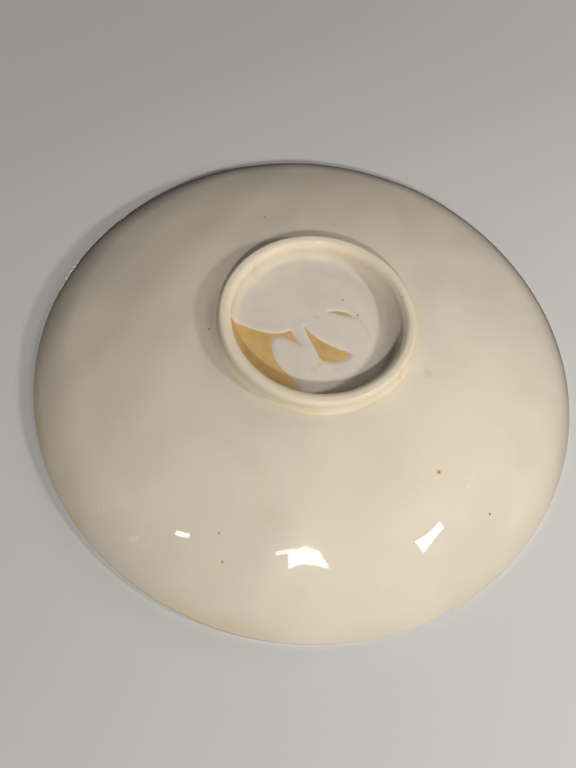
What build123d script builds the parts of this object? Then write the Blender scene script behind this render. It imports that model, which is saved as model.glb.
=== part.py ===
"""Porcelain serving bowl: a shallow thrown bowl on a luted foot ring, glazed all over.

The bowl stands upright on its foot. The origin is the centre of the foot's standing plane,
+Z runs up through the middle of the mouth, and every piece is turned about that axis.
Lengths are in millimetres and angles in degrees.

The finished surface is drawn as four stretches, each a chain of lines and tangent arcs:
the recess inside the foot, the foot, the outer wall and the inner wall. Each stretch can be
drawn at a depth below the surface, so a coat of glaze lies between two copies of one
stretch, and the clay under it begins exactly where the coat ends.
"""

import os
from math import cos, radians, sin, tan

from build123d import *

# Overall size, over the glaze
MOUTH_RADIUS = 150.0
HEIGHT = 48.0
GLAZE = 0.4

# Foot ring and the recess inside it, over the glaze
FOOT_RADIUS = 50.3
FOOT_INNER_RADIUS = 43.6
FOOT_HEIGHT = 7.5
RECESS_DEPTH = 10.0
EDGE_OUTER_ROUND = 2.2
EDGE_INNER_ROUND = 3.4

# Slip wiped into the two corners between the foot and the bowl
OUTER_SLIP_ROUND = 2.6
INNER_SLIP_ROUND = 4.0

# Slope of the wall where it leaves the foot, where the shoulder begins, and at the lip
FLANK_SLOPE = 8.5
SHOULDER_SLOPE = 22.0
LIP_SLOPE = 52.0
LIP_THICKNESS = 3.6
WELL_RADIUS = 38.0

# Bare places in the recess, where the glaze drew back as it was fired and the clay shows
POOL_EDGE = ((46.0, -8.5), (27.0, -11.6), (12.5, -7.3))
POOL_TONGUE = ((12.5, -7.3), (5.6, -14.3), (14.9, -12.0), (19.7, -13.6))
POOL_HEEL = ((19.7, -13.6), (17.0, -24.2), (0.0, -46.0))
POOL_OUTSIDE = (46.0, -46.0)
LEAF_TOP = ((5.8, -3.2), (-5.0, -9.7), (-20.4, -14.0))
LEAF_BOTTOM = ((-20.4, -14.0), (-12.9, -19.8), (-5.1, -19.0), (5.8, -3.2))


def across(slope):
    """Unit vector that points into the bowl from a surface rising at this slope."""
    return Vector(-sin(radians(slope)), cos(radians(slope)))


def along(slope):
    """Unit vector that points outwards and up along a surface rising at this slope."""
    return Vector(cos(radians(slope)), sin(radians(slope)))


def arc_span(start, end):
    """Run and rise of an arc of radius 1 whose slope grows from start to end."""
    run = sin(radians(end)) - sin(radians(start))
    rise = cos(radians(start)) - cos(radians(end))
    return run, rise


# The lip is a half circle, so the outer wall ends a little inside the mouth's edge
LIP_RADIUS = LIP_THICKNESS / 2
LIP_CENTRE = Vector(MOUTH_RADIUS - LIP_RADIUS, HEIGHT - LIP_RADIUS)
WALL_START = Vector(FOOT_RADIUS + OUTER_SLIP_ROUND * (1 - sin(radians(FLANK_SLOPE))), FOOT_HEIGHT)
WALL_END = LIP_CENTRE - across(LIP_SLOPE) * LIP_RADIUS

# Radii of the flank and shoulder arcs that join those two points at the stated slopes
FLANK_RUN, FLANK_RISE = arc_span(FLANK_SLOPE, SHOULDER_SLOPE)
SHOULDER_RUN, SHOULDER_RISE = arc_span(SHOULDER_SLOPE, LIP_SLOPE)
WALL = WALL_END - WALL_START
SPREAD = FLANK_RUN * SHOULDER_RISE - SHOULDER_RUN * FLANK_RISE
FLANK_RADIUS = (WALL.X * SHOULDER_RISE - SHOULDER_RUN * WALL.Y) / SPREAD
SHOULDER_RADIUS = (FLANK_RUN * WALL.Y - WALL.X * FLANK_RISE) / SPREAD

# Inside, the shoulder runs beside the outer one and the flank eases down to a flat well
INNER_SHOULDER_RADIUS = SHOULDER_RADIUS - LIP_THICKNESS
INNER_FLANK_END = (
    LIP_CENTRE
    + across(LIP_SLOPE) * LIP_RADIUS
    - Vector(SHOULDER_RUN * INNER_SHOULDER_RADIUS, SHOULDER_RISE * INNER_SHOULDER_RADIUS)
)
INNER_FLANK_RADIUS = (INNER_FLANK_END.X - WELL_RADIUS) / sin(radians(SHOULDER_SLOPE))
WELL_HEIGHT = INNER_FLANK_END.Y - INNER_FLANK_RADIUS * (1 - cos(radians(SHOULDER_SLOPE)))

# The clay seat that the foot ring is luted to, from its inner to its outer corner
SEAT_INNER = Vector(FOOT_INNER_RADIUS + GLAZE, RECESS_DEPTH + GLAZE)
WALL_CLAY = WALL_START + across(FLANK_SLOPE) * GLAZE
SEAT_REACH = WALL_CLAY.X - (FOOT_RADIUS - GLAZE)
SEAT_OUTER = WALL_CLAY - Vector(SEAT_REACH, SEAT_REACH * tan(radians(FLANK_SLOPE)))


def inner_slip(depth):
    """The hollow of the slip in the corner between the recess and the foot."""
    start = (FOOT_INNER_RADIUS - INNER_SLIP_ROUND, RECESS_DEPTH + depth)
    return JernArc(start, (1, 0), INNER_SLIP_ROUND + depth, -90)


def outer_slip(depth):
    """The hollow of the slip in the corner between the foot and the outer wall."""
    start = (FOOT_RADIUS - depth, FOOT_HEIGHT - OUTER_SLIP_ROUND * cos(radians(FLANK_SLOPE)))
    return JernArc(start, (0, 1), OUTER_SLIP_ROUND + depth, FLANK_SLOPE - 90)


def recess(depth):
    """The recess from its middle to the foot."""
    hollow = inner_slip(depth)
    floor = Line((0, RECESS_DEPTH + depth), hollow @ 0)
    return floor, hollow


def foot_inside(depth):
    """The foot's inner face, from the slip down to the rounded standing edge."""
    top = (FOOT_INNER_RADIUS + depth, RECESS_DEPTH - INNER_SLIP_ROUND)
    face = Line(top, (FOOT_INNER_RADIUS + depth, EDGE_INNER_ROUND))
    edge = JernArc(face @ 1, (0, -1), EDGE_INNER_ROUND - depth, 90)
    return face, edge


def foot_stand(depth):
    """The flat standing edge and its outer round."""
    start = (FOOT_INNER_RADIUS + EDGE_INNER_ROUND, depth)
    stand = Line(start, (FOOT_RADIUS - EDGE_OUTER_ROUND, depth))
    edge = JernArc(stand @ 1, (1, 0), EDGE_OUTER_ROUND - depth, 90)
    return stand, edge


def foot(depth):
    """The whole foot, from the slip inside it to the slip outside it."""
    inside = foot_inside(depth)
    stand = foot_stand(depth)
    hollow = outer_slip(depth)
    face = Line(stand[-1] @ 1, hollow @ 0)
    return (*inside, *stand, face, hollow)


def outer_wall(depth):
    """The outer wall from the foot to the crest of the lip."""
    start = WALL_START + across(FLANK_SLOPE) * depth
    flank = JernArc(start, along(FLANK_SLOPE), FLANK_RADIUS - depth, SHOULDER_SLOPE - FLANK_SLOPE)
    shoulder = JernArc(flank @ 1, flank % 1, SHOULDER_RADIUS - depth, LIP_SLOPE - SHOULDER_SLOPE)
    lip = JernArc(shoulder @ 1, shoulder % 1, LIP_RADIUS - depth, 180 - LIP_SLOPE)
    return flank, shoulder, lip


def inner_wall(depth):
    """The inner wall from the crest of the lip down to the middle of the well."""
    crest = LIP_CENTRE + Vector(0, LIP_RADIUS - depth)
    lip = JernArc(crest, (-1, 0), LIP_RADIUS - depth, LIP_SLOPE)
    shoulder = JernArc(lip @ 1, lip % 1, INNER_SHOULDER_RADIUS + depth, SHOULDER_SLOPE - LIP_SLOPE)
    flank = JernArc(shoulder @ 1, shoulder % 1, INNER_FLANK_RADIUS + depth, -SHOULDER_SLOPE)
    well = Line(flank @ 1, (0, WELL_HEIGHT - depth))
    return lip, shoulder, flank, well


def coat(stretch):
    """The outline of the glaze on one stretch of the surface."""
    skin = stretch(0.0)
    clay = stretch(GLAZE)
    Line(skin[0] @ 0, clay[0] @ 0)
    Line(skin[-1] @ 1, clay[-1] @ 1)


def write(piece, name):
    """Label one finished piece and write it to its own file."""
    piece.part.label = name
    export_step(piece.part, f"parts/{name}.step")


os.makedirs("parts", exist_ok=True)

# Thrown bowl: the wall, the well and the seat under them, in bare clay
with BuildPart() as bowl_body:
    with BuildSketch(Plane.XZ):
        with BuildLine():
            outside = outer_wall(GLAZE)
            inside = inner_wall(GLAZE)
            Polyline((0, SEAT_INNER.Y), SEAT_INNER, SEAT_OUTER, outside[0] @ 0)
            Line(inside[-1] @ 1, (0, SEAT_INNER.Y))
        make_face()
    revolve(axis=Axis.Z)
write(bowl_body, "bowl_body")

# Foot ring: a separate ring of clay, luted under the bowl and turned true
with BuildPart() as foot_ring:
    with BuildSketch(Plane.XZ):
        with BuildLine():
            inside = foot_inside(GLAZE)
            stand = foot_stand(GLAZE)
            Polyline(stand[-1] @ 1, SEAT_OUTER, SEAT_INNER, inside[0] @ 0)
        make_face()
    revolve(axis=Axis.Z)
write(foot_ring, "foot_ring")

# Luting slip: one bead in the corner outside the foot and one in the corner inside it
with BuildPart() as luting_slip:
    with BuildSketch(Plane.XZ):
        with BuildLine():
            hollow = inner_slip(GLAZE)
            Polyline(hollow @ 0, SEAT_INNER, hollow @ 1)
        make_face()
        with BuildLine():
            hollow = outer_slip(GLAZE)
            Polyline(hollow @ 0, SEAT_OUTER, hollow @ 1)
        make_face()
    revolve(axis=Axis.Z)
write(luting_slip, "luting_slip")

# Glaze outside the bowl, from the foot's outer slip to the crest of the lip
with BuildPart() as outer_glaze:
    with BuildSketch(Plane.XZ):
        with BuildLine():
            coat(outer_wall)
        make_face()
    revolve(axis=Axis.Z)
write(outer_glaze, "outer_glaze")

# Glaze inside the bowl, from the crest of the lip to the well
with BuildPart() as inner_glaze:
    with BuildSketch(Plane.XZ):
        with BuildLine():
            coat(inner_wall)
        make_face()
    revolve(axis=Axis.Z)
write(inner_glaze, "inner_glaze")

# Glaze over the foot, which is what the bowl stands on
with BuildPart() as foot_glaze:
    with BuildSketch(Plane.XZ):
        with BuildLine():
            coat(foot)
        make_face()
    revolve(axis=Axis.Z)
write(foot_glaze, "foot_glaze")

# Glaze in the recess, open at the two large bare places
with BuildPart() as recess_glaze:
    with BuildSketch(Plane.XZ):
        with BuildLine():
            coat(recess)
        make_face()
    revolve(axis=Axis.Z)
    with BuildSketch(Plane.XY):
        with BuildLine():
            Spline(POOL_EDGE)
            Polyline(POOL_TONGUE)
            Spline(POOL_HEEL)
            Polyline(POOL_HEEL[-1], POOL_OUTSIDE, POOL_EDGE[0])
        make_face()
        with BuildLine():
            Spline(LEAF_TOP)
            Spline(LEAF_BOTTOM)
        make_face()
    extrude(amount=RECESS_DEPTH + 2 * GLAZE, mode=Mode.SUBTRACT)
write(recess_glaze, "recess_glaze")

print(f"well {WELL_HEIGHT:.2f} mm above the stand, floor {WELL_HEIGHT - RECESS_DEPTH:.2f} mm thick")
print(f"arc radii: flank {FLANK_RADIUS:.1f}, shoulder {SHOULDER_RADIUS:.1f}, inner flank {INNER_FLANK_RADIUS:.1f} mm")
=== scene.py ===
"""Porcelain serving bowl, seen from under its foot.

The bowl stands upright on its foot at the origin, +Z up. Every piece of it is turned about
the Z axis from one outline of the finished surface, drawn on the complex plane with the
radius as the real part and the height as the imaginary part. Lengths are in metres.
"""

import cmath
import functools
import math

import bpy
import numpy as np
from mathutils import Matrix, Vector
from mathutils.geometry import delaunay_2d_cdt


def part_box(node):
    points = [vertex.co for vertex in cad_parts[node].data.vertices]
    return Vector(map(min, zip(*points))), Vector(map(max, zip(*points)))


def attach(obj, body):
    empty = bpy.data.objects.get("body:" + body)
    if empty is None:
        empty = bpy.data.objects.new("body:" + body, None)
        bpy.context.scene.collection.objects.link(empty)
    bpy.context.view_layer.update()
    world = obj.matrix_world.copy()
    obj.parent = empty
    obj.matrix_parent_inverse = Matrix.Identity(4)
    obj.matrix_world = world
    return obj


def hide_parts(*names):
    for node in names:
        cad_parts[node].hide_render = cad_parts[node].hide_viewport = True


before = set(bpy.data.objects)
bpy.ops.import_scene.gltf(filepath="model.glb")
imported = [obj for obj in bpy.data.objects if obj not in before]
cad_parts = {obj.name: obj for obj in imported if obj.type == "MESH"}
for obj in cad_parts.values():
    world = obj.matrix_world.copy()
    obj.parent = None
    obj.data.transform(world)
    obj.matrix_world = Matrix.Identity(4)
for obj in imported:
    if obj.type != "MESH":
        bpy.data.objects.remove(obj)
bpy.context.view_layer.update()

bl_info = {
    "name": "Porcelain serving bowl",
    "version": (1, 0, 0),
    "blender": (4, 5, 0),
    "location": "3D View > Sidebar > Bowl",
    "description": "Builds a glazed porcelain bowl on a foot ring, piece by piece",
    "category": "Object",
}

MM = 0.001

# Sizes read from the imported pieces
FOOT_RING_LOW, FOOT_RING_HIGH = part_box("foot_ring")
FOOT_COAT_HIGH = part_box("foot_glaze")[1]
RECESS_LOW, RECESS_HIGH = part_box("recess_glaze")
OUTER_LOW, OUTER_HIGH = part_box("outer_glaze")
INNER_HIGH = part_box("inner_glaze")[1]
GLAZE = FOOT_RING_LOW.z
MOUTH_RADIUS = OUTER_HIGH.x
HEIGHT = OUTER_HIGH.z
FOOT_HEIGHT = OUTER_LOW.z
FOOT_RADIUS = FOOT_RING_HIGH.x + GLAZE
FOOT_INNER_RADIUS = RECESS_HIGH.x - GLAZE
RECESS_DEPTH = RECESS_HIGH.z - GLAZE
INNER_SLIP_ROUND = RECESS_DEPTH - RECESS_LOW.z
LIP_RADIUS = MOUTH_RADIUS - INNER_HIGH.x

# Slopes of the wall, in degrees, and the other sizes that the boxes don't hold
FLANK_SLOPE = 8.5
SHOULDER_SLOPE = 22.0
LIP_SLOPE = 52.0
WELL_RADIUS = 38.0 * MM
EDGE_OUTER_ROUND = 2.2 * MM
EDGE_INNER_ROUND = 3.4 * MM
TINY = 1e-9  # room for rounding, in metres
OUTER_SLIP_ROUND = (FOOT_COAT_HIGH.x - FOOT_RADIUS) / (1 - math.sin(math.radians(FLANK_SLOPE)))

# Bare places in the recess, each a chain of smooth runs that meet at corners, in millimetres
POOL = (
    ((43.6, -9.0), (35.0, -10.7), (27.3, -11.7), (20.5, -11.3), (15.5, -9.7), (12.5, -7.3)),
    ((12.5, -7.3), (10.2, -9.4), (5.6, -14.3)),
    ((5.6, -14.3), (10.6, -13.3), (14.9, -12.0), (18.6, -12.6)),
    (
        (18.6, -12.6), (20.0, -15.5), (19.0, -20.0), (16.6, -25.0),
        (12.5, -29.2), (8.0, -32.4), (2.6, -36.6), (0.8, -42.6),
    ),
    ((0.8, -42.6), (12.0, -43.3), (26.0, -36.4), (37.6, -24.0), (43.6, -9.0)),
)
LEAF = (
    ((5.8, -3.2), (1.4, -6.6), (-5.0, -9.8), (-12.9, -11.7), (-19.1, -12.8), (-20.4, -14.0)),
    ((-20.4, -14.0), (-17.8, -17.1), (-12.9, -19.8), (-7.6, -20.4), (-5.1, -19.0)),
    ((-5.1, -19.0), (-1.8, -14.4), (2.2, -9.1), (5.8, -3.2)),
)
SLIVER = (
    ((-4.5, 9.0), (-10.5, 10.5), (-15.3, 10.3), (-18.1, 9.0)),
    ((-18.1, 9.0), (-14.3, 8.6), (-9.5, 8.7), (-4.5, 9.0)),
)


# ---- The outline of the finished surface ----


def arc_span(start, end):
    """Run and rise, as a complex number, of an arc of radius 1 between two slopes in degrees."""
    start, end = math.radians(start), math.radians(end)
    return complex(math.sin(end) - math.sin(start), math.cos(start) - math.cos(end))


def across(slope):
    """Unit step into the clay from the outer wall where it rises at this slope."""
    return 1j * cmath.exp(1j * math.radians(slope))


WIDEST_STEP = 7.5  # degrees between the points of an arc, at most
END_STEP = 0.04  # the short step at each end of a run, as a share of a full one


class Outline:
    """A chain of straight runs and tangent arcs at one depth below the finished surface.

    It is drawn with the clay on its left, so an arc that turns left shrinks with depth and one
    that turns right grows.
    """

    def __init__(self, start, heading, depth, spacing):
        self.heading = heading
        self.depth = depth
        self.spacing = spacing
        self.points = [start + 1j * heading * depth]
        self.normals = [-1j * heading]
        self.stretches = {}

    def add(self, point):
        self.points.append(point)
        self.normals.append(-1j * self.heading)

    def run(self, length):
        """A straight run."""
        start = self.points[-1]
        for part in self.parts(length):
            self.add(start + self.heading * length * part)

    def bend(self, radius, turn):
        """An arc of this radius at the surface, turning left by this many degrees."""
        side = 1j if turn > 0 else -1j
        true_radius = radius - self.depth if turn > 0 else radius + self.depth
        angle = math.radians(turn)
        start_heading = self.heading
        centre = self.points[-1] + side * start_heading * true_radius
        least = abs(turn) / WIDEST_STEP
        for part in self.parts(radius * abs(angle), least):
            self.heading = start_heading * cmath.exp(1j * angle * part)
            self.add(centre - side * self.heading * true_radius)

    def parts(self, length, least=1.0):
        """Even steps along a run, with a short step at each end to hold the shading there."""
        count = max(2, math.ceil(length / self.spacing), math.ceil(least))
        short = END_STEP / count
        return [short, *(k / count for k in range(1, count)), 1 - short, 1]

    def finish(self, name):
        """Ends a stretch of the outline, which the next one carries on from."""
        first = self.stretches.get("end", 0)
        self.stretches[name] = slice(first, len(self.points))
        self.stretches["end"] = len(self.points) - 1


def bowl_outline(shape, depth):
    """The whole outline at one depth, from the middle of the recess round to the well."""
    lip_centre = complex(MOUTH_RADIUS - LIP_RADIUS, HEIGHT - LIP_RADIUS)
    wall_start = complex(FOOT_COAT_HIGH.x, FOOT_HEIGHT)
    wall = lip_centre - across(LIP_SLOPE) * LIP_RADIUS - wall_start
    flank, shoulder = arc_span(FLANK_SLOPE, SHOULDER_SLOPE), arc_span(SHOULDER_SLOPE, LIP_SLOPE)
    spread = flank.real * shoulder.imag - shoulder.real * flank.imag
    flank_radius = (wall.real * shoulder.imag - shoulder.real * wall.imag) / spread
    shoulder_radius = (flank.real * wall.imag - wall.real * flank.imag) / spread
    inner_shoulder_radius = shoulder_radius - 2 * LIP_RADIUS
    inner_flank_end = lip_centre + across(LIP_SLOPE) * LIP_RADIUS - shoulder * inner_shoulder_radius
    inner_flank_radius = (inner_flank_end.real - WELL_RADIUS) / math.sin(math.radians(SHOULDER_SLOPE))
    slip_rise = OUTER_SLIP_ROUND * math.cos(math.radians(FLANK_SLOPE))

    line = Outline(1j * RECESS_DEPTH, 1, depth, shape.spacing)
    line.run(FOOT_INNER_RADIUS - INNER_SLIP_ROUND)
    line.bend(INNER_SLIP_ROUND, -90)
    line.finish("recess")
    line.run(RECESS_DEPTH - INNER_SLIP_ROUND - EDGE_INNER_ROUND)
    line.bend(EDGE_INNER_ROUND, 90)
    line.run(FOOT_RADIUS - EDGE_OUTER_ROUND - FOOT_INNER_RADIUS - EDGE_INNER_ROUND)
    line.bend(EDGE_OUTER_ROUND, 90)
    line.run(FOOT_HEIGHT - slip_rise - EDGE_OUTER_ROUND)
    line.bend(OUTER_SLIP_ROUND, FLANK_SLOPE - 90)
    line.finish("foot")
    line.bend(flank_radius, SHOULDER_SLOPE - FLANK_SLOPE)
    line.bend(shoulder_radius, LIP_SLOPE - SHOULDER_SLOPE)
    line.bend(LIP_RADIUS, 180 - LIP_SLOPE)
    line.finish("outer_wall")
    line.bend(LIP_RADIUS, LIP_SLOPE)
    line.bend(inner_shoulder_radius, SHOULDER_SLOPE - LIP_SLOPE)
    line.bend(inner_flank_radius, -SHOULDER_SLOPE)
    line.run(WELL_RADIUS)
    line.finish("inner_wall")
    return line


# ---- The hand of the maker: what keeps the surface from being a perfect turning ----


def smooth_step(value, low, high):
    """0 below low, 1 above high, and an even S between them."""
    part = np.clip((value - low) / (high - low), 0, 1)
    return part * part * (3 - 2 * part)


class Waves:
    """Gentle unevenness over the plan of the bowl, a sum of waves that run every way."""

    def __init__(self, seed, shortest, longest, count=16):
        draw = np.random.default_rng(seed)
        length = np.exp(draw.uniform(math.log(shortest), math.log(longest), count))
        way = draw.uniform(0, 2 * math.pi, count)
        self.along_x = 2 * math.pi / length * np.cos(way)
        self.along_y = 2 * math.pi / length * np.sin(way)
        self.phase = draw.uniform(0, 2 * math.pi, count)
        self.share = math.sqrt(2 / count)

    def __call__(self, x, y):
        total = np.zeros_like(x)
        for along_x, along_y, phase in zip(self.along_x, self.along_y, self.phase):
            total += np.sin(along_x * x + along_y * y + phase)
        return total * self.share


OUTER_WAVES = Waves(seed=5, shortest=0.030, longest=0.090)
OUTER_RIPPLE = Waves(seed=8, shortest=0.009, longest=0.020)
INNER_WAVES = Waves(seed=11, shortest=0.030, longest=0.090)
FOOT_WAVES = Waves(seed=17, shortest=0.010, longest=0.030)
RECESS_WAVES = Waves(seed=23, shortest=0.007, longest=0.022)


def ridge(x, y, start, end, width):
    """1 along a short crease in the glaze, fading to 0 across its width and past its ends."""
    start, end = np.array(start) * MM, np.array(end) * MM
    length = float(np.hypot(*(end - start)))
    way = (end - start) / length
    along = (x - start[0]) * way[0] + (y - start[1]) * way[1]
    aside = (y - start[1]) * way[0] - (x - start[0]) * way[1]
    past = np.maximum(np.abs(along - length / 2) - length / 2, 0)
    return np.exp(-((aside / width) ** 2) - (past / width) ** 2)


def plain(shape, x, y, radius):
    """No relief: the seats between clay pieces."""
    return np.zeros_like(x)


def outer_relief(shape, x, y, radius):
    """The outside was turned smooth: long swells, a trace of the tool, and two creases."""
    turn = np.arctan2(y, x)
    fade = smooth_step(radius, FOOT_COAT_HIGH.x, FOOT_COAT_HIGH.x + 9 * MM)
    fade = fade * smooth_step(MOUTH_RADIUS - radius, 1.5 * MM, 8 * MM)
    lines = np.sin(2 * math.pi * radius / (8.5 * MM) + turn) * (0.6 + 0.4 * np.sin(3 * turn + 1.3))
    swell = 0.10 * OUTER_WAVES(x, y) + 0.006 * OUTER_RIPPLE(x, y)
    creases = ridge(x, y, (-76.0, 38.0), (-92.0, 47.0), 2.2 * MM)
    creases = creases + 0.8 * ridge(x, y, (-94.0, 50.0), (-106.0, 61.0), 1.8 * MM)
    return fade * MM * shape.hand * (swell + 0.006 * lines + 0.10 * creases)


def inner_relief(shape, x, y, radius):
    """The inside keeps the spiral of the throwing fingers, deepest on the flank."""
    turn = np.arctan2(y, x)
    fade = smooth_step(MOUTH_RADIUS - radius, 2.5 * MM, 10 * MM)
    depth = 0.35 + 0.65 * smooth_step(radius, 12 * MM, 60 * MM)
    spiral = np.sin(2 * math.pi * radius / (9.5 * MM) - turn + 0.7 * np.sin(2 * turn))
    middle = smooth_step(radius, 0.0, 14 * MM)
    return fade * MM * shape.hand * (0.08 * INNER_WAVES(x, y) + 0.045 * spiral * depth * middle)


def foot_relief(shape, x, y, radius):
    """The glaze on the foot lies a little uneven, but its standing edge stays on the plane."""
    return 0.05 * MM * shape.hand * FOOT_WAVES(x, y) * foot_free(radius)


def foot_free(radius):
    """How far a point is from the joints of the foot's coat and its standing edge, 0 to 1."""
    outside = smooth_step(radius, FOOT_RADIUS - 0.4 * MM, FOOT_RADIUS)
    return outside * smooth_step(FOOT_COAT_HIGH.x - radius, 0.2 * MM, 1.2 * MM)


def recess_relief(shape, x, y, radius):
    """The floor of the recess was turned flat and keeps only a slight unevenness."""
    fade = smooth_step(FOOT_INNER_RADIUS - radius, -0.2 * MM, 5 * MM)
    return fade * 0.03 * MM * shape.hand * RECESS_WAVES(x, y)


def warp(shape, points):
    """Moves points a little, more towards the mouth: the bowl was fired slightly out of round."""
    x, y, z = points.T
    radius, turn = np.hypot(x, y), np.arctan2(y, x)
    free = np.clip((radius - FOOT_COAT_HIGH.x) / (MOUTH_RADIUS - FOOT_COAT_HIGH.x), 0, 1) ** 2
    out = shape.out_of_round * free * np.cos(2 * turn + 1.1)
    lift = shape.out_of_round * free * (np.cos(2 * turn - 0.5) - 1) / 2
    safe = np.maximum(radius, TINY)
    return np.stack([x + out * x / safe, y + out * y / safe, z + lift], axis=1)


# ---- Meshes ----


SHARP_EDGE = 50.0  # degrees

# The recess's coat: the steps along its bare places' edges, between its rings and round them,
# the room left clear by those edges, the rows of points beside them, and their taper
EDGE_STEP = 0.55 * MM
RING_STEP = 1.15 * MM
TURN_STEP = 1.25 * MM
EDGE_ROOM = 1.3 * MM
EDGE_ROWS = (0.07 * MM, 0.16 * MM, 0.30 * MM, 0.50 * MM, 0.80 * MM)
TAPER = 1.5 * MM
RIM_POINTS = 420
ON_EDGE = 1e-7


def strip(outline, stretch, relief, backwards=False):
    """One stretch of an outline with the relief that it gets, ready to be turned."""
    part = outline.stretches[stretch]
    points, normals = np.array(outline.points[part]), np.array(outline.normals[part])
    if backwards:
        points, normals = points[::-1], normals[::-1]
    return points, normals, relief


def corner_strip(*corners):
    """Plain corners of an outline that lie between two pieces of clay."""
    return np.array(corners), np.zeros(len(corners)), plain


def turned_points(shape, strips, segments):
    """Every ring of a turned piece: radii and heights at each turn, as two arrays."""
    turn = np.arange(segments) * 2 * math.pi / segments
    radii, heights = [], []
    for points, normals, relief in strips:
        ring = points.real[:, None]
        x, y = ring * np.cos(turn), ring * np.sin(turn)
        raised = relief(shape, x, y, np.broadcast_to(ring, x.shape))
        moved = points[:, None] + normals[:, None] * raised
        radii.append(moved.real)
        heights.append(moved.imag)
    return np.concatenate(radii), np.concatenate(heights), turn


def turned_mesh(shape, name, loops, segments):
    """A closed mesh turned about the Z axis, from one or more closed loops of strips."""
    vertices, faces, base = [], [], 0
    for strips in loops:
        radii, heights, turn = turned_points(shape, strips, segments)
        starts, on_axis = [], radii.max(axis=1) < 1e-6
        for row in range(len(radii)):
            starts.append(base)
            across_row = turn[:1] if on_axis[row] else turn
            radius, height = radii[row][: len(across_row)], heights[row][: len(across_row)]
            if on_axis[row]:
                height = heights[row].mean(keepdims=True)
            x, y = radius * np.cos(across_row), radius * np.sin(across_row)
            vertices.append(np.stack([x, y, height], axis=1))
            base += len(across_row)
        for row in range(len(radii)):
            after = (row + 1) % len(radii)
            here, there = starts[row], starts[after]
            if on_axis[row] and on_axis[after]:
                continue
            for k in range(segments):
                n = (k + 1) % segments
                near = (here,) if on_axis[row] else (here + k, here + n)
                far = (there,) if on_axis[after] else (there + n, there + k)
                faces.append(near + far)
    return clay_mesh(name, warp(shape, np.concatenate(vertices)), faces)


def clay_mesh(name, vertices, faces):
    """A mesh shaded smooth, with its cut edges kept sharp."""
    mesh = bpy.data.meshes.new(name)
    mesh.from_pydata(vertices.tolist(), [], faces)
    mesh.update()
    mesh.shade_smooth()
    mesh.set_sharp_from_angle(angle=math.radians(SHARP_EDGE))
    return mesh


def smooth_run(points, step):
    """Points at even steps along a smooth curve through the given points, the last left out."""
    points = [np.array(p, float) for p in points]
    ends = [2 * points[0] - points[1], *points, 2 * points[-1] - points[-2]]
    curve = []
    for before, start, end, after in zip(ends, ends[1:], ends[2:], ends[3:]):
        count = max(2, round(float(np.hypot(*(end - start))) / step))
        for k in range(count):
            t = k / count
            bend = (end - before) * t + (2 * before - 5 * start + 4 * end - after) * t**2
            bend = bend + (3 * start - before - 3 * end + after) * t**3
            curve.append(start + bend / 2)
    return curve


def bare_outline(chain, step):
    """The closed outline of one bare place, in metres."""
    return np.array([p for run in chain for p in smooth_run(run, step / MM)]) * MM


def distance_to(outlines, points):
    """Distance from each point to the nearest of the closed outlines."""
    nearest = np.full(len(points), np.inf)
    for outline in outlines:
        start, end = outline, np.roll(outline, -1, axis=0)
        way = end - start
        length = (way**2).sum(axis=1)
        for first in range(0, len(points), 2000):
            block = points[first : first + 2000, None, :] - start
            part = np.clip((block * way).sum(axis=2) / length, 0, 1)
            gap = np.hypot(*np.moveaxis(block - part[..., None] * way, 2, 0)).min(axis=1)
            nearest[first : first + 2000] = np.minimum(nearest[first : first + 2000], gap)
    return nearest


def inside(outline, points):
    """Whether each point lies inside a closed outline."""
    x, y = points[:, 0, None], points[:, 1, None]
    (x0, y0), (x1, y1) = outline.T, np.roll(outline, -1, axis=0).T
    rising = (y0 > y) != (y1 > y)
    level = np.where(y1 == y0, 1.0, y1 - y0)
    return ((rising & (x < (x1 - x0) * (y - y0) / level + x0)).sum(axis=1) % 2).astype(bool)


def rings_apart(outlines, reach):
    """Points on rings over the plan of the recess, clear of the edges of the bare places."""
    rings = [np.zeros((1, 2))]
    for row, ring in enumerate(np.arange(RING_STEP, reach - 0.5 * MM, RING_STEP)):
        count = max(8, round(2 * math.pi * ring / TURN_STEP))
        turn = (np.arange(count) + 0.5 * (row % 2)) * 2 * math.pi / count
        rings.append(ring * np.stack([np.cos(turn), np.sin(turn)], axis=1))
    rings = np.concatenate(rings)
    return rings[distance_to(outlines, rings) > EDGE_ROOM]


def rows_beside(outlines, reach):
    """Rows of points on both sides of each bare place's edge, to carry the taper there."""
    rows = []
    for gap in EDGE_ROWS:
        for outline in outlines:
            way = np.roll(outline, -1, axis=0) - np.roll(outline, 1, axis=0)
            side = np.stack([way[:, 1], -way[:, 0]], axis=1) / np.hypot(*way.T)[:, None]
            for row in (outline + side * gap, outline - side * gap):
                clear = distance_to(outlines, row) > 0.93 * gap
                rows.append(row[clear & (np.hypot(*row.T) < reach - 0.2 * MM)])
    return np.concatenate(rows)


def crawled_plan(outlines, reach):
    """Points and triangles over the plan of the recess, none of them on a bare place."""
    turn = np.arange(RIM_POINTS) * 2 * math.pi / RIM_POINTS
    fixed, edges, first = [reach * np.stack([np.cos(turn), np.sin(turn)], axis=1), *outlines], [], 0
    for outline in fixed:
        count = len(outline)
        edges += [(first + k, first + (k + 1) % count) for k in range(count)]
        first += count
    points = np.concatenate([*fixed, rings_apart(outlines, reach), rows_beside(outlines, reach)])
    points, _, triangles, *_ = delaunay_2d_cdt([Vector(p) for p in points], edges, [], 0, ON_EDGE)
    points = np.array([tuple(p) for p in points])
    triangles = np.array([tuple(t) for t in triangles])
    middle = points[triangles].mean(axis=1)
    return points, triangles[~np.any([inside(outline, middle) for outline in outlines], axis=0)]


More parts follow.
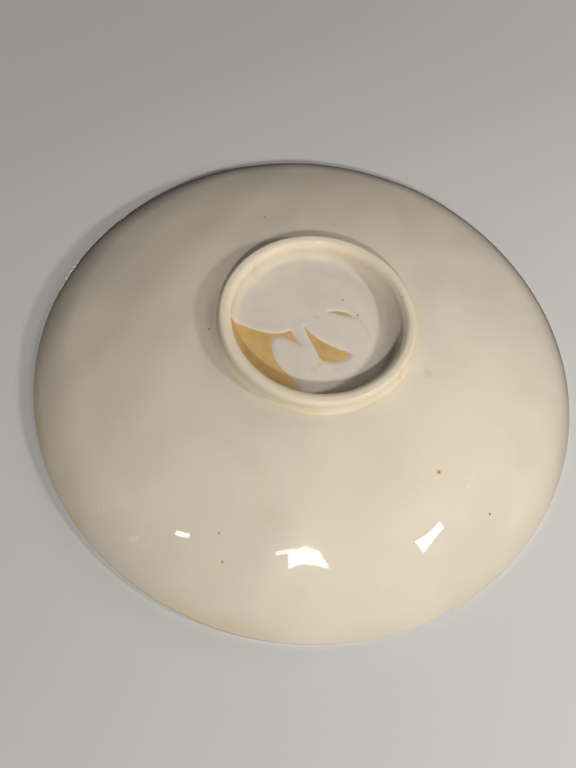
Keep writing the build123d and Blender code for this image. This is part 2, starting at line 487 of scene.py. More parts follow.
def crawled_mesh(shape, name, skin, clay):
    """The recess's coat of glaze, open at the bare places, thinning out towards each.

    It is laid out on a plan whose radius is the length along the surface from the middle.
    """
    part = skin.stretches["recess"]
    skin_line, clay_line = np.array(skin.points[part]), np.array(clay.points[part])
    along = np.concatenate([[0], np.cumsum(np.abs(np.diff(skin_line)))])
    outlines = [bare_outline(chain, EDGE_STEP) for chain in (POOL, LEAF, SLIVER)]
    plan, triangles = crawled_plan(outlines, along[-1])

    radius, turn = np.hypot(*plan.T), np.arctan2(plan[:, 1], plan[:, 0])
    on_rim = radius > along[-1] - ON_EDGE
    gap = distance_to(outlines, plan)
    taper = np.clip(gap / TAPER, 0, 1)
    thickness = 0.35 * np.sqrt(taper) + 0.65 * smooth_step(taper, 0, 1)
    thickness = np.where(on_rim, 1.0, thickness)

    def lay(values):
        return np.interp(radius, along, values.real) + 1j * np.interp(radius, along, values.imag)

    skin_at, clay_at = lay(skin_line), lay(clay_line)
    x, y = skin_at.real * np.cos(turn), skin_at.real * np.sin(turn)
    raised = lay(np.array(skin.normals[part])) * recess_relief(shape, x, y, skin_at.real)
    top = clay_at + (skin_at - clay_at) * thickness + raised
    low = clay_at + raised

    used = np.unique(triangles)
    at_bare = used[gap[used] < ON_EDGE]
    doubled = used[gap[used] >= ON_EDGE]
    over, under = np.full(len(plan), -1), np.full(len(plan), -1)
    over[used] = np.arange(len(used))
    under[doubled] = len(used) + np.arange(len(doubled))
    under[at_bare] = over[at_bare]

    def solid(line, index):
        line, angle = line[index], turn[index]
        return np.stack([line.real * np.cos(angle), line.real * np.sin(angle), line.imag], axis=1)

    vertices = np.concatenate([solid(top, used), solid(low, doubled)])
    faces = over[triangles][:, ::-1].tolist()
    faces += [corners for corners in under[triangles].tolist() if len(set(corners)) == 3]
    rim = np.flatnonzero(on_rim)
    rim = rim[np.argsort(turn[rim])]
    after = np.roll(rim, -1)
    faces += np.stack([over[rim], over[after], under[after], under[rim]], axis=1).tolist()
    return clay_mesh(name, warp(shape, vertices), faces)


# ---- Materials ----


GLASS_IOR = 1.5
COAT_ROUGHNESS = 0.03
SURROUND = (0.58, 0.585, 0.60, 1.0)


class Wire:
    """One output in a material. Sums on it add the Math nodes that work them out."""

    def __init__(self, finish, socket):
        self.finish = finish
        self.socket = socket

    def math(self, operation, first, second=0.0):
        return self.finish.node("ShaderNodeMath", {"operation": operation}, {0: first, 1: second})

    def __add__(self, other):
        return self.math("ADD", self, other)

    def __mul__(self, other):
        return self.math("MULTIPLY", self, other)

    def __sub__(self, other):
        return self.math("SUBTRACT", self, other)

    def __rsub__(self, other):
        return self.math("SUBTRACT", other, self)

    def __pow__(self, other):
        return self.math("POWER", self, other)

    __radd__ = __add__
    __rmul__ = __mul__

    def most(self, other):
        return self.math("MAXIMUM", self, other)

    def step(self, low, high):
        """Goes smoothly from 0 at low to 1 at high, which may be the smaller of the two."""
        inputs = {"Value": self, "From Min": low, "From Max": high}
        return self.finish.node("ShaderNodeMapRange", {"interpolation_type": "SMOOTHSTEP"}, inputs)


class Finish:
    """The node tree of one material, built by calls that each return a Wire."""

    def __init__(self, name):
        self.material = bpy.data.materials.new(name)
        self.material.use_nodes = True
        self.tree = self.material.node_tree
        self.tree.nodes.clear()
        self.place = self.node("ShaderNodeTexCoord", output="Object")
        axes = self.node("ShaderNodeSeparateXYZ", {}, {0: self.place}).socket.node.outputs
        self.x, self.y, self.z = (Wire(self, socket) for socket in axes)
        self.radius = (self.x * self.x + self.y * self.y) ** 0.5

    def node(self, kind, settings=None, inputs=None, output=0):
        """Adds a node, sets it up, joins its inputs and returns one of its outputs."""
        made = self.tree.nodes.new(kind)
        for name, value in (settings or {}).items():
            setattr(made, name, value)
        for name, value in (inputs or {}).items():
            if isinstance(value, Wire):
                self.tree.links.new(value.socket, made.inputs[name])
            else:
                made.inputs[name].default_value = value
        return Wire(self, made.outputs[output])

    def noise(self, size, detail=3.0, roughness=0.5, distortion=0.0):
        """Soft cloudy variation, 0 to 1, whose features are about this size in metres."""
        inputs = {"Vector": self.place, "Scale": 1 / size, "Detail": detail}
        inputs.update({"Roughness": roughness, "Distortion": distortion})
        return self.node("ShaderNodeTexNoise", {}, inputs)

    def ragged(self, size):
        """Rough variation, 0 to 1, that breaks up the edge of a stain."""
        return self.noise(size, detail=4.0, roughness=0.6)

    def specks(self, spacing, size, share):
        """Small round specks, at random, in a share of cells of this spacing."""
        inputs = {"Vector": self.place, "Scale": 1 / spacing, "Randomness": 1.0}
        cells = self.node("ShaderNodeTexVoronoi", {}, inputs)
        colour = Wire(self, cells.socket.node.outputs["Color"])
        chance = self.node("ShaderNodeSeparateColor", {}, {0: colour})
        size_here = 0.4 + 0.9 * Wire(self, chance.socket.node.outputs[1])
        soft = 0.12 * size / spacing
        dot = (cells - size_here * (size / spacing)).step(soft, -soft)
        return dot * chance.step(share, share - 0.01)

    def spots(self, *places):
        """Soft round spots seen along Z, each with its centre and size in millimetres.

        A fourth number is the spot's strength, which is otherwise 1.
        """
        made = []
        for x, y, size, *strength in places:
            aside, along = self.x - x * MM, self.y - y * MM
            spot = ((aside * aside + along * along) ** 0.5).step(size * MM, 0.25 * size * MM)
            made.append(strength[0] * spot if strength else spot)
        return functools.reduce(Wire.most, made)

    def tint(self, mask, stain):
        """Lays a stain over the colour so far, as strong as the mask says."""
        self.colour = self.mix(mask, self.colour, rgb(stain))

    def mix(self, mask, first, second):
        """The first colour where the mask is 0 and the second where it is 1."""
        inputs = {0: mask, 6: first, 7: second}
        return self.node("ShaderNodeMix", {"data_type": "RGBA"}, inputs, output=2)

    def bump(self, height, distance, strength=1.0, below=None):
        """The surface normal bent by a height, on top of an earlier bump."""
        inputs = {"Height": height, "Distance": distance, "Strength": strength}
        if below:
            inputs["Normal"] = below
        return self.node("ShaderNodeBump", {}, inputs)

    def surface(self, shader):
        """Ends the tree with this shader and hands over the material."""
        end = self.tree.nodes.new("ShaderNodeOutputMaterial")
        self.tree.links.new(shader.socket, end.inputs["Surface"])
        return self.material

    def ceramic(self, roughness, normal, gloss):
        """A fired surface; gloss is the weight of the clear glassy layer over it."""
        inputs = {"Base Color": self.colour, "Roughness": roughness, "Normal": normal}
        inputs.update({"Coat Weight": gloss, "Coat Roughness": COAT_ROUGHNESS})
        inputs.update({"IOR": GLASS_IOR, "Coat IOR": GLASS_IOR})
        return self.surface(self.node("ShaderNodeBsdfPrincipled", {}, inputs))


def rgb(colour):
    """A colour property as the four numbers that a socket takes."""
    return (*colour, 1.0)


def glaze_ground(finish, look):
    """The cream glaze before any mark: warmer where it lies thick, greyer where it is thin."""
    cloud = finish.noise(0.060, distortion=0.4)
    mottle = finish.noise(0.016, distortion=0.6)
    finish.colour = finish.mix(cloud.step(0.32, 0.72), rgb(look.cream), rgb(look.cream_grey))
    finish.tint(mottle.step(0.55, 0.85) * 0.35, look.cream_warm)


def glazed(finish, look, dull=0.0):
    """Ends a glaze: glossy, duller where it is worn, with faint ripples and a few pinholes."""
    worn = finish.noise(0.03, detail=4.0).step(0.5, 0.8)
    ripple = finish.noise(0.014, detail=1.0)
    peel = finish.noise(0.0045, detail=2.0)
    pits = finish.specks(0.017, 0.00035, 0.30)
    normal = finish.bump(ripple, 0.00010, strength=0.35)
    normal = finish.bump(peel, 0.00002, strength=0.5, below=normal)
    normal = finish.bump(1 - pits, 0.00015, strength=0.6, below=normal)
    return finish.ceramic(0.30 + 0.12 * worn + dull, normal, look.gloss)


def outside_glaze(look):
    """Cream glaze on the outer wall, with the stains and specks that this bowl has, and pale painted
    reflections near the lip.
    """
    finish = Finish("outside_glaze")
    glaze_ground(finish, look)
    ragged = finish.ragged(0.011)
    lip = (finish.radius + 0.007 * ragged).step(MOUTH_RADIUS - 3.0 * MM, MOUTH_RADIUS + 4.5 * MM)
    patchy = finish.noise(0.045, detail=2.0).step(0.42, 0.64)
    finish.tint(lip * (0.08 + 0.92 * patchy) * 0.5, look.straw)
    edge = finish.z.step(HEIGHT - 2.0 * MM, HEIGHT - 0.3 * MM)
    finish.tint(edge * (0.15 + 0.4 * patchy), look.brown_edge)
    foot_edge = FOOT_COAT_HIGH.x
    joint = (finish.radius - 0.0035 * ragged).step(foot_edge + 0.6 * MM, foot_edge - 2.2 * MM)
    finish.tint(joint * (0.08 + 0.36 * patchy), look.straw)
    cloudy_stain = finish.noise(0.028, detail=5.0, roughness=0.62, distortion=0.5).step(0.62, 0.80)
    finish.tint(cloudy_stain * 0.30, look.straw)
    stain = finish.spots((-59.7, -15.8, 3.4)) * ragged.step(0.3, 0.6)
    finish.tint(stain * 0.75, look.straw)
    rusty, fainter, faintest = (-71.9, -62.4), (18.0, -123.0), (22.4, -111.7)
    halo = finish.spots((*rusty, 1.9, 0.9), (*fainter, 1.5, 0.55), (*faintest, 1.4, 0.5))
    finish.tint(halo * 0.75, look.rust)
    dots = finish.spots(
        (41.6, 63.9, 0.8), (-101.0, -73.7, 0.9), (51.8, -18.2, 0.7),
        (*rusty, 0.8), (*fainter, 0.6, 0.8), (*faintest, 0.5, 0.8),
    )
    dots = dots.most(finish.specks(0.021, 0.00032, 0.16))
    finish.tint(dots * 0.85, look.iron)
    # Painted reflections: pale broken patches near the lip, tinted over the glaze colour; the glaze
    # is also a little rougher under them.
    painted_reflections = painted_reflection_mask(finish)
    finish.tint(painted_reflections * 0.8, look.painted_reflection_tone)
    return glazed(finish, look, dull=0.16 * painted_reflections)


def painted_reflection_mask(finish):
    """Broken pale patches in a few places near the lip: painted reflections, laid into the glaze
    colour.
    """
    broken = finish.noise(0.0035, detail=5.0, roughness=0.7, distortion=1.2).step(0.52, 0.70)
    return broken * finish.spots((75.0, -106.0, 11.0), (58.0, -119.0, 10.0), (-88.0, -63.0, 6.5, 0.8))


def inside_glaze(look):
    """Cream glaze inside the bowl, cleaner, with a straw tint where it thins at the lip."""
    finish = Finish("inside_glaze")
    glaze_ground(finish, look)
    ragged = finish.ragged(0.012)
    patchy = finish.noise(0.05, detail=2.0).step(0.40, 0.62)
    lip = (finish.radius + 0.006 * ragged).step(MOUTH_RADIUS - 7 * MM, MOUTH_RADIUS)
    finish.tint(lip * (0.2 + 0.6 * patchy) * 0.7, look.straw)
    edge = finish.z.step(HEIGHT - 1.8 * MM, HEIGHT - 0.2 * MM)
    finish.tint(edge * (0.35 + 0.5 * patchy), look.brown_edge)
    stain = finish.noise(0.030, detail=5.0, roughness=0.62, distortion=0.5).step(0.64, 0.82)
    finish.tint(stain * 0.22, look.straw)
    finish.tint(finish.specks(0.024, 0.00032, 0.18) * 0.8, look.iron)
    return glazed(finish, look)


def foot_coat(look):
    """Ivory glaze on the foot, thin and straw-coloured along its inner edge."""
    finish = Finish("foot_glaze")
    cloud = finish.noise(0.02)
    finish.colour = finish.mix(cloud.step(0.35, 0.7), rgb(look.ivory), rgb(look.cream))
    ragged = finish.ragged(0.006)
    inner = finish.radius + 0.002 * ragged
    inner = inner.step(FOOT_INNER_RADIUS + 1.6 * MM, FOOT_INNER_RADIUS + 0.2 * MM)
    patchy = finish.noise(0.014, detail=2.0).step(0.42, 0.62)
    finish.tint(inner * (0.15 + 0.35 * patchy), look.straw)
    outer = (finish.z + 0.0015 * ragged).step(FOOT_HEIGHT - 2.6 * MM, FOOT_HEIGHT + 0.8 * MM)
    finish.tint(outer * (0.15 + 0.35 * patchy), look.straw)
    rust = finish.spots((37.8, 21.6, 2.2), (-45.2, -22.3, 2.0)) * ragged.step(0.3, 0.6)
    finish.tint(rust * 0.5, look.rust)
    dots = finish.spots((-40.0, 20.6, 0.8, 0.45)).most(finish.specks(0.012, 0.0003, 0.12))
    finish.tint(dots * 0.8, look.iron)
    return glazed(finish, look)


def recess_coat(look):
    """Thin greyish white glaze in the recess, straw-coloured towards the foot."""
    finish = Finish("recess_glaze")
    cloud = finish.noise(0.022)
    finish.colour = finish.mix(cloud.step(0.3, 0.7), rgb(look.recess_white), rgb(look.recess_lilac))
    ragged = finish.ragged(0.006)
    rise = finish.radius + 0.005 * ragged
    rise = rise.step(FOOT_INNER_RADIUS - 3.5 * MM, FOOT_INNER_RADIUS + 2.5 * MM)
    finish.tint(rise * 0.25, look.straw)
    bend = ((finish.x + 15.0 * MM) ** 2.0 + (finish.y + 4.5 * MM) ** 2.0) ** 0.5
    off_line = bend - 13.4 * MM
    thread = off_line.math("ABSOLUTE", off_line).step(1.3 * MM, 0.1 * MM)
    thread = thread * finish.x.step(-18.0 * MM, -19.0 * MM) * finish.y.step(-3.0 * MM, -1.0 * MM)
    finish.tint(thread * 0.34, look.straw)
    smudge = finish.spots((-14.5, -24.5, 2.6), (-6.0, -23.5, 3.0, 0.6), (-3.5, -27.0, 3.2))
    finish.tint(smudge * ragged.step(0.35, 0.6) * 0.6, look.straw)
    rust = finish.spots((37.0, 21.0, 3.2)) * ragged.step(0.3, 0.6)
    finish.tint(rust * 0.55, look.rust)
    dots = finish.spots((-10.8, 17.8, 0.9), (-20.3, 10.4, 0.9), (0.5, 3.5, 2.2, 0.2))
    dots = dots.most(finish.specks(0.011, 0.00028, 0.14))
    finish.tint(dots * 0.6, look.iron)
    return glazed(finish, look)


def fired_clay(look, name):
    """Bare fired clay: ochre, dry and finely grained, stained darker in places."""
    finish = Finish(name)
    stain = finish.noise(0.012, detail=4.0, roughness=0.6, distortion=0.4)
    grain = finish.noise(0.0011, roughness=0.65)
    finish.colour = finish.mix(stain.step(0.35, 0.68), rgb(look.clay), rgb(look.clay_light))
    finish.tint(grain.step(0.55, 0.75) * 0.35, look.clay_dark)
    finish.tint(finish.specks(0.004, 0.00022, 0.35) * 0.7, look.clay_dark)
    normal = finish.bump(grain, 0.00008, strength=0.6)
    return finish.ceramic(0.62 + 0.2 * grain, normal, 0.0)


def one_sided(name, colour):
    """A pale ground that fades into the surround; from behind, the view passes through it."""
    finish = Finish(name)
    tone = finish.mix(finish.noise(0.4, detail=2.0) * 0.06, rgb(colour), (0.50, 0.50, 0.50, 1.0))
    board = finish.node("ShaderNodeBsdfPrincipled", {}, {"Base Color": tone, "Roughness": 0.9})
    clear = finish.node("ShaderNodeBsdfTransparent")
    behind = finish.node("ShaderNodeNewGeometry", output="Backfacing")
    glow = finish.node("ShaderNodeEmission", {}, {"Color": SURROUND})
    far = finish.radius.step(*GROUND_FADES)
    lit = finish.node("ShaderNodeMixShader", {}, {0: far, 1: board, 2: glow})
    return finish.surface(finish.node("ShaderNodeMixShader", {}, {0: behind, 1: lit, 2: clear}))


# ---- Settings that a user would change ----


def colour_setting(name, description, colour):
    """A colour that the panel shows with its own picker."""
    return bpy.props.FloatVectorProperty(
        name=name, description=description, default=colour,
        subtype="COLOR", size=3, min=0.0, max=1.0,
    )


def power_setting(name, description, watts):
    """The power of a lamp, or of several that get a share of it each."""
    return bpy.props.FloatProperty(
        name=name, description=description, default=watts, min=0.0, subtype="POWER"
    )


class BowlShape(bpy.types.PropertyGroup):
    """How finely the bowl is meshed and how much of the hand it keeps."""

    spacing: bpy.props.FloatProperty(
        name="Ring spacing", description="Distance between rings along the outline",
        default=1.3 * MM, min=0.3 * MM, max=5 * MM, unit="LENGTH", precision=4,
    )
    segments: bpy.props.IntProperty(
        name="Segments", description="Segments round the wall", default=352, min=48, max=1024
    )
    hand: bpy.props.FloatProperty(
        name="Hand", description="How uneven the thrown and glazed surface is, 0 for a true turning",
        default=1.0, min=0.0, max=3.0, subtype="FACTOR",
    )
    out_of_round: bpy.props.FloatProperty(
        name="Out of round", description="How far the mouth went out of true in the kiln",
        default=0.35 * MM, min=0.0, max=3 * MM, unit="LENGTH", precision=5,
    )


class GlazeLook(bpy.types.PropertyGroup):
    """Colours of the glaze and of the clay where it is bare."""

    cream: colour_setting("Cream", "The main glaze", (0.735, 0.684, 0.596))
    cream_grey: colour_setting("Grey cream", "The glaze where it is thin", (0.665, 0.625, 0.556))
    cream_warm: colour_setting("Warm cream", "The glaze where it lies thick", (0.76, 0.690, 0.575))
    ivory: colour_setting("Ivory", "The glaze on the foot", (0.80, 0.725, 0.600))
    straw: colour_setting("Straw", "Yellow stain at edges and joints", (0.66, 0.530, 0.300))
    brown_edge: colour_setting("Brown edge", "The thin edge of the lip", (0.50, 0.370, 0.215))
    # The pale colour of the painted reflections near the lip.
    painted_reflection_tone: colour_setting("Smear", "Dry smears left by handling", (0.88, 0.850, 0.795))
    rust: colour_setting("Rust", "Halo round an iron spot", (0.62, 0.380, 0.140))
    iron: colour_setting("Iron", "Iron specks in the glaze", (0.09, 0.060, 0.035))
    recess_white: colour_setting("Recess white", "Glaze in the recess", (0.72, 0.680, 0.620))
    recess_lilac: colour_setting("Recess grey", "Greyer glaze in the recess", (0.67, 0.625, 0.590))
    clay: colour_setting("Clay", "Bare fired clay", (0.535, 0.360, 0.145))
    clay_light: colour_setting("Light clay", "Bare clay where it is clean", (0.625, 0.440, 0.190))
    clay_dark: colour_setting("Dark clay", "Grains and stains in bare clay", (0.36, 0.210, 0.080))
    gloss: bpy.props.FloatProperty(
        name="Gloss", description="Weight of the clear glassy layer of the glaze",
        default=1.0, min=0.0, max=1.0, subtype="FACTOR",
    )


class StudioLook(bpy.types.PropertyGroup):
    """The pale ground, the light and the camera."""

    ground: colour_setting("Ground", "The pale ground", (0.57, 0.59, 0.62))
    key_power: power_setting("Key power", "Power of the soft key light", 34.0)
    lamp_power: power_setting("Lamp power", "Power of the lamps that show in the glaze", 1.0)
    top_power: power_setting("Top power", "Power of the soft light over the mouth", 16.0)
    lens: bpy.props.FloatProperty(
        name="Lens", description="Focal length of the camera",
        default=27.05, min=10.0, subtype="DISTANCE_CAMERA",
    )


# ---- Pieces ----


def seat_corners():
    """The two corners of the sloping seat between the bowl and its foot ring."""
    slope = math.radians(FLANK_SLOPE)
    wall = complex(FOOT_COAT_HIGH.x, FOOT_HEIGHT) + across(FLANK_SLOPE) * GLAZE
    reach = wall.real - (FOOT_RADIUS - GLAZE)
    inner = complex(FOOT_INNER_RADIUS + GLAZE, RECESS_DEPTH + GLAZE)
    return inner, wall - reach * complex(1, math.tan(slope))


class PieceStep:
    """What the build steps share: each shapes a piece and puts it in place of its CAD node."""

    def execute(self, context):
        shape, look = context.scene.bowl_shape, context.scene.glaze_look
        mesh = self.shaped(shape, bowl_outline(shape, 0.0), bowl_outline(shape, GLAZE))
        piece = bpy.data.objects.new(f"{self.node}_fired", mesh)
        mesh.materials.append(self.fired(look))
        context.scene.collection.objects.link(piece)
        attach(piece, "root")
        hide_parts(self.node)
        return {"FINISHED"}


class ClayStep(PieceStep):
    """A piece of clay, more coarsely meshed because the coats of glaze cover it."""

    slot = "porcelain_clay"

    def shaped(self, shape, skin, clay):
        return turned_mesh(shape, f"{self.node}_fired", self.loops(clay), shape.segments // 2)

    def fired(self, look):
        return fired_clay(look, self.clay_name)


class BOWL_OT_body(ClayStep, bpy.types.Operator):
    """Build the thrown bowl in bare clay"""

    bl_idname = "bowl.body"
    bl_label = "Thrown body"
    node, clay_name = "bowl_body", "body_clay"

    def loops(self, clay):
        floor = np.linspace(0, FOOT_INNER_RADIUS - INNER_SLIP_ROUND, 60) + 1j * (RECESS_DEPTH + GLAZE)
        return [[
            (floor, np.full(len(floor), -1j), recess_relief),
            corner_strip(*seat_corners()),
            strip(clay, "outer_wall", outer_relief),
            strip(clay, "inner_wall", inner_relief),
        ]]


class BOWL_OT_foot_ring(ClayStep, bpy.types.Operator):
    """Build the foot ring in bare clay"""

    bl_idname = "bowl.foot_ring"
    bl_label = "Foot ring"
    node, clay_name = "foot_ring", "foot_clay"

    def loops(self, clay):
        points, normals, relief = strip(clay, "foot", plain)
        kept = points.real < FOOT_RADIUS - GLAZE + TINY
        seat = corner_strip(*reversed(seat_corners()))
        return [[(points[kept], normals[kept], relief), seat]]


class BOWL_OT_luting_slip(ClayStep, bpy.types.Operator):
    """Build the two beads of slip that join the foot ring to the bowl"""

    bl_idname = "bowl.luting_slip"
    bl_label = "Luting slip"
    node, slot, clay_name = "luting_slip", "slip", "slip_clay"

    def loops(self, clay):
        inner_seat, outer_seat = seat_corners()
        points, normals, relief = strip(clay, "recess", recess_relief)
        hollow = points.real >= FOOT_INNER_RADIUS - INNER_SLIP_ROUND - TINY
        inner_bead = [(points[hollow], normals[hollow], relief), corner_strip(inner_seat)]
        points, normals, relief = strip(clay, "foot", foot_relief)
        hollow = points.imag >= FOOT_HEIGHT - OUTER_SLIP_ROUND
        hollow &= points.real >= FOOT_RADIUS - GLAZE - TINY
        outer_bead = [(points[hollow], normals[hollow], relief), corner_strip(outer_seat)]
        return [inner_bead, outer_bead]


class CoatStep(PieceStep):
    """A coat of glaze: out along its skin over one stretch and back along the clay."""

    slot = "cream_glaze"

    def shaped(self, shape, skin, clay):
        there = strip(skin, self.stretch, self.relief)
        back = strip(clay, self.stretch, self.relief, backwards=True)
        return turned_mesh(shape, f"{self.node}_fired", [[there, back]], shape.segments)


class BOWL_OT_outer_glaze(CoatStep, bpy.types.Operator):
    """Build the coat of glaze on the outer wall"""

    bl_idname = "bowl.outer_glaze"
    bl_label = "Outer glaze"
    node, stretch = "outer_glaze", "outer_wall"
    relief, fired = staticmethod(outer_relief), staticmethod(outside_glaze)


class BOWL_OT_inner_glaze(CoatStep, bpy.types.Operator):
    """Build the coat of glaze inside the bowl"""

    bl_idname = "bowl.inner_glaze"
    bl_label = "Inner glaze"
    node, stretch = "inner_glaze", "inner_wall"
    relief, fired = staticmethod(inner_relief), staticmethod(inside_glaze)


class BOWL_OT_foot_glaze(CoatStep, bpy.types.Operator):
    """Build the coat of glaze on the foot"""

    bl_idname = "bowl.foot_glaze"
    bl_label = "Foot glaze"
    node, stretch = "foot_glaze", "foot"
    relief, fired = staticmethod(foot_relief), staticmethod(foot_coat)


class BOWL_OT_recess_glaze(PieceStep, bpy.types.Operator):
    """Build the coat of glaze in the recess, drawn back from its bare places"""

    bl_idname = "bowl.recess_glaze"
    bl_label = "Recess glaze"
    node, slot = "recess_glaze", "recess_glaze"
    fired = staticmethod(recess_coat)

    def shaped(self, shape, skin, clay):
        return crawled_mesh(shape, "recess_glaze_fired", skin, clay)


# ---- Stage ----


GROUND_SIDES = 128
GROUND_RINGS = (0.6, 4.0)
GROUND_FADES = (0.25, 1.1)
WARM = (1.0, 0.93, 0.83)
NEUTRAL = (1.0, 0.97, 0.93)

# The camera: its angle below the level in degrees, how far it is from the middle of the mouth
# in mouth radii, the point that it looks at, and its turn about its own line of sight
VIEW_BELOW = 60.6
VIEW_DISTANCE = 2.21
VIEW_AIM = (0.0082, -0.0186)
VIEW_ROLL = -9.55


def direction(azimuth, elevation):
    """Unit vector to a light: azimuth 0 is towards -Y and 90 towards +X, in degrees."""
    azimuth, elevation = math.radians(azimuth), math.radians(elevation)
    flat = math.cos(elevation)
    return Vector((flat * math.sin(azimuth), -flat * math.cos(azimuth), math.sin(elevation)))


def ground(name, height, hole, material, facing):
    """A wide round ground at one height, facing up or down, with or without a hole in it."""
    mesh = bpy.data.meshes.new(name)
    turn = [2 * math.pi * k / GROUND_SIDES for k in range(GROUND_SIDES)]
    rings = [hole, *GROUND_RINGS] if hole else GROUND_RINGS
    vertices = [(r * math.cos(a), r * math.sin(a), height) for r in rings for a in turn]
    faces = [] if hole else [tuple(range(GROUND_SIDES))]
    for low in range(0, len(vertices) - GROUND_SIDES, GROUND_SIDES):
        for k in range(GROUND_SIDES):
            n = (k + 1) % GROUND_SIDES
            high = low + GROUND_SIDES
            faces.append((low + k, high + k, high + n, low + n))
    if facing < 0:
        faces = [face[::-1] for face in faces]
    mesh.from_pydata(vertices, [], faces)
    mesh.materials.append(material)
    board = bpy.data.objects.new(name, mesh)
    bpy.context.scene.collection.objects.link(board)
    board.visible_diffuse = False
    board.visible_glossy = False
    board.visible_shadow = False


def lamp(name, aim, way, distance, size, power, colour, shines=True, roll=0.0):
    """A rectangular lamp that looks at a point from one direction."""
    data = bpy.data.lights.new(name, "AREA")
    data.shape = "RECTANGLE"
    data.size, data.size_y = size
    data.energy = power
    data.color = colour
    light = bpy.data.objects.new(name, data)
    light.location = aim + way * distance
    facing = way.to_track_quat("Z", "Y").to_matrix()
    light.rotation_euler = (Matrix.Rotation(roll, 3, way) @ facing).to_euler()
    light.visible_camera = False
    light.visible_glossy = shines
    bpy.context.scene.collection.objects.link(light)


def light_underside(studio):
    """A key from the viewer's side with four weaker lamps round it, and four that shine."""
    middle = Vector((0, 0, HEIGHT / 2))
    for name, azimuth, elevation, distance, size, share in (
        ("key", -9, -38, 2.4, (0.26, 0.16), 0.86),
        ("side", -82, -35, 0.8, (0.08, 0.06), 0.076),
        ("between", -48, -36, 0.8, (0.16, 0.08), 0.022),
        ("back", -150, -32, 2.4, (0.60, 0.60), 0.26),
        ("fill", 70, -24, 2.4, (0.50, 0.50), 0.09),
    ):
        way, power = direction(azimuth, elevation), share * studio.key_power
        lamp(name, middle, way, distance, size, power, WARM, shines=False)
    front = Vector((-0.0155, -0.1147, 0.0236))
    left = Vector((0.0407, -0.1147, 0.0258))
    right = Vector((-0.0752, -0.0899, 0.0241))
    for name, place, azimuth, elevation, size, share, roll in (
        ("lamp_front", front, -21.0, -59.5, (0.135, 0.095), 0.70, 0.0),
        ("lamp_beside", front, -12.0, -61.5, (0.13, 0.03), 0.12, 0.0),
        ("lamp_left", left, 38.8, -54.6, (0.070, 0.025), 0.14, 0.5),
        ("lamp_right", right, -72.0, -48.5, (0.22, 0.06), 0.80, -0.25),
    ):
        way, power = direction(azimuth, elevation), share * studio.lamp_power
        lamp(name, place, way, 1.2, size, power, WARM, roll=roll)


def light_mouth(studio):
    """A wide soft light over the mouth and a smaller one that shows inside the bowl."""
    middle = Vector((0, 0, HEIGHT))
    power = studio.top_power
    lamp("over_mouth", middle, direction(-40, 50), 1.3, (0.7, 0.7), power, NEUTRAL, shines=False)
    lamp("over_window", middle, direction(140, 48), 1.4, (0.42, 0.30), 0.35 * power, NEUTRAL)


def dim_surround():
    """A pale surround to look at that lights the glaze only faintly."""
    world = bpy.data.worlds.new("surround")
    world.use_nodes = True
    tree = world.node_tree
    tree.nodes.clear()
    path = tree.nodes.new("ShaderNodeLightPath")
    mix = tree.nodes.new("ShaderNodeMixShader")
    faint, pale = (tree.nodes.new("ShaderNodeBackground") for _ in range(2))
    faint.inputs["Color"].default_value = (0.016, 0.016, 0.016, 1.0)
    pale.inputs["Color"].default_value = SURROUND
    tree.links.new(path.outputs["Is Camera Ray"], mix.inputs[0])
    tree.links.new(faint.outputs[0], mix.inputs[1])
    tree.links.new(pale.outputs[0], mix.inputs[2])
    tree.links.new(mix.outputs[0], tree.nodes.new("ShaderNodeOutputWorld").inputs["Surface"])
    bpy.context.scene.world = world


def viewer(studio):
    """The camera: under the bowl and in front of it, so that the foot is seen from above."""
    data = bpy.data.cameras.new("viewer")
    data.lens = studio.lens
    data.sensor_width = 36.0
    camera = bpy.data.objects.new("viewer", data)
    mouth = Vector((0, 0, HEIGHT))
    place = mouth + direction(0.0, -VIEW_BELOW) * VIEW_DISTANCE * MOUTH_RADIUS
    aim = Vector((*VIEW_AIM, HEIGHT))
    forward = (aim - place).normalized()
    level = forward.cross(Vector((0, 0, -1))).normalized()
    right = Matrix.Rotation(math.radians(VIEW_ROLL), 3, forward) @ level
    up = right.cross(forward)
    turned = Matrix((right, up, -forward)).transposed()
    camera.matrix_world = Matrix.Translation(place) @ turned.to_4x4()
    bpy.context.scene.collection.objects.link(camera)
    bpy.context.scene.camera = camera


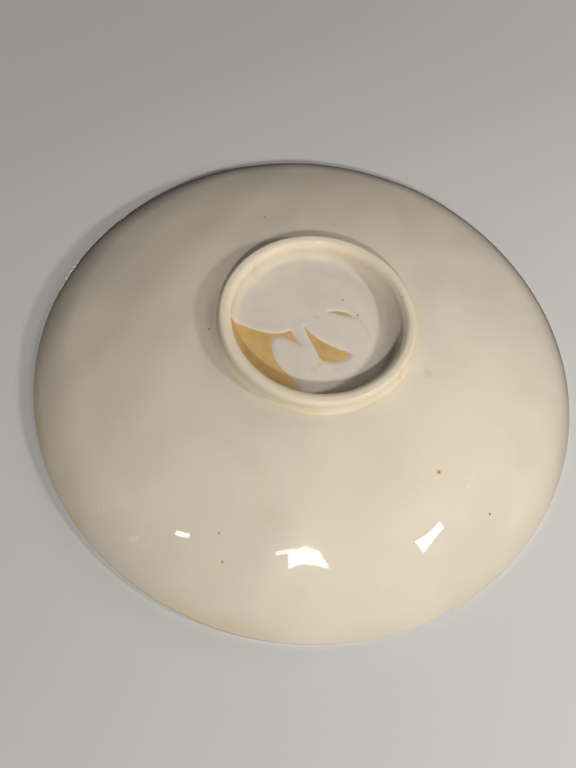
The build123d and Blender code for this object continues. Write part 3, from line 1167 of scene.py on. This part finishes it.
class BOWL_OT_stage(bpy.types.Operator):
    """Set up the ground, the lights and the camera"""

    bl_idname = "bowl.stage"
    bl_label = "Stage"

    def execute(self, context):
        studio = context.scene.studio_look
        floor, table = (one_sided(name, studio.ground) for name in ("floor_board", "mouth_board"))
        ground("floor_under_foot", 0.0, 0.0, floor, facing=1)
        ground("ground_at_mouth", HEIGHT, MOUTH_RADIUS - LIP_RADIUS, table, facing=-1)
        light_underside(studio)
        light_mouth(studio)
        dim_surround()
        viewer(studio)
        context.scene.view_settings.view_transform = "Standard"
        return {"FINISHED"}


class BOWL_PT_pieces(bpy.types.Panel):
    """The bowl's settings and the operators that build it"""

    bl_idname = "BOWL_PT_pieces"
    bl_label = "Porcelain serving bowl"
    bl_space_type = "VIEW_3D"
    bl_region_type = "UI"
    bl_category = "Bowl"

    def draw(self, context):
        for group in (context.scene.bowl_shape, context.scene.glaze_look, context.scene.studio_look):
            box = self.layout.box()
            for name in group.bl_rna.properties.keys():
                if name not in ("rna_type", "name"):
                    box.prop(group, name)
        for step in STEPS:
            self.layout.operator(step.bl_idname)


STEPS = (
    BOWL_OT_body,
    BOWL_OT_foot_ring,
    BOWL_OT_luting_slip,
    BOWL_OT_outer_glaze,
    BOWL_OT_inner_glaze,
    BOWL_OT_foot_glaze,
    BOWL_OT_recess_glaze,
    BOWL_OT_stage,
)
SETTINGS = {"bowl_shape": BowlShape, "glaze_look": GlazeLook, "studio_look": StudioLook}


def register():
    for kind in (*SETTINGS.values(), *STEPS, BOWL_PT_pieces):
        bpy.utils.register_class(kind)
    for name, kind in SETTINGS.items():
        setattr(bpy.types.Scene, name, bpy.props.PointerProperty(type=kind))


def unregister():
    for name in SETTINGS:
        delattr(bpy.types.Scene, name)
    for kind in (BOWL_PT_pieces, *reversed(STEPS), *SETTINGS.values()):
        bpy.utils.unregister_class(kind)


def main():
    register()
    for step in STEPS:
        group, name = step.bl_idname.split(".")
        getattr(getattr(bpy.ops, group), name)()


if __name__ == "__main__":
    main()
